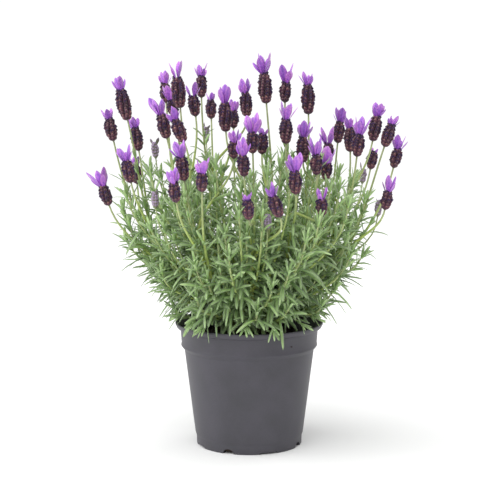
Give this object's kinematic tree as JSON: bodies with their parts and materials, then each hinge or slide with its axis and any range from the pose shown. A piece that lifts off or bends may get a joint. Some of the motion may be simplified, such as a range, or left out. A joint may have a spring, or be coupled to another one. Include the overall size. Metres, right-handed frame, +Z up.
{
  "type": "potted lavender",
  "caption": "Bushy Spanish lavender in a round tapered nursery pot: dark flower spikes topped with violet bracts above narrow grey-green leaves.",
  "frame": {"origin": "middle of the pot's flat base, on the surface that it stands on", "axes": "+Z up along the pot's axis, +Y towards the back of the plant as it is shown, +X to its right"},
  "size_m": [0.2726, 0.2403, 0.3408],
  "materials": {
    "pot": "satin moulded plastic",
    "soil": "rough and crumbly",
    "bark": "dry fibrous bark",
    "leaf": "soft, finely haired",
    "flower": "velvety"
  },
  "bodies": {
    "root": {"nursery_pot": "pot", "potting_soil": "soil", "woody_crown": "bark", "leafy_branch_01": "leaf", "leafy_branch_02": "leaf", "leafy_branch_03": "leaf", "leafy_branch_04": "leaf", "leafy_branch_05": "leaf", "leafy_branch_06": "leaf", "leafy_branch_07": "leaf", "leafy_branch_08": "leaf", "leafy_branch_09": "leaf", "leafy_branch_10": "leaf", "leafy_branch_11": "leaf", "leafy_branch_12": "leaf", "leafy_branch_13": "leaf", "flower_head_01": "flower", "flower_head_02": "flower", "flower_head_03": "flower", "flower_head_04": "flower", "flower_head_05": "flower", "flower_head_06": "flower", "flower_head_07": "flower", "flower_head_08": "flower", "flower_head_09": "flower", "flower_head_10": "flower", "flower_head_11": "flower", "flower_head_12": "flower", "flower_head_13": "flower", "flower_head_14": "flower", "flower_head_15": "flower", "flower_head_16": "flower", "flower_head_17": "flower", "flower_head_18": "flower", "flower_head_19": "flower", "flower_head_20": "flower", "flower_head_21": "flower", "flower_head_22": "flower", "flower_head_23": "flower", "flower_head_24": "flower", "flower_head_25": "flower", "flower_head_26": "flower", "flower_head_27": "flower", "flower_head_28": "flower", "flower_head_29": "flower", "flower_head_30": "flower", "flower_head_31": "flower", "flower_head_32": "flower", "flower_head_33": "flower", "flower_head_34": "flower", "flower_head_35": "flower", "flower_head_36": "flower", "flower_head_37": "flower", "flower_head_38": "flower", "flower_head_39": "flower", "flower_head_40": "flower", "flower_head_41": "flower", "flower_head_42": "flower", "flower_head_43": "flower", "flower_head_44": "flower"}
  },
  "joints": []
}
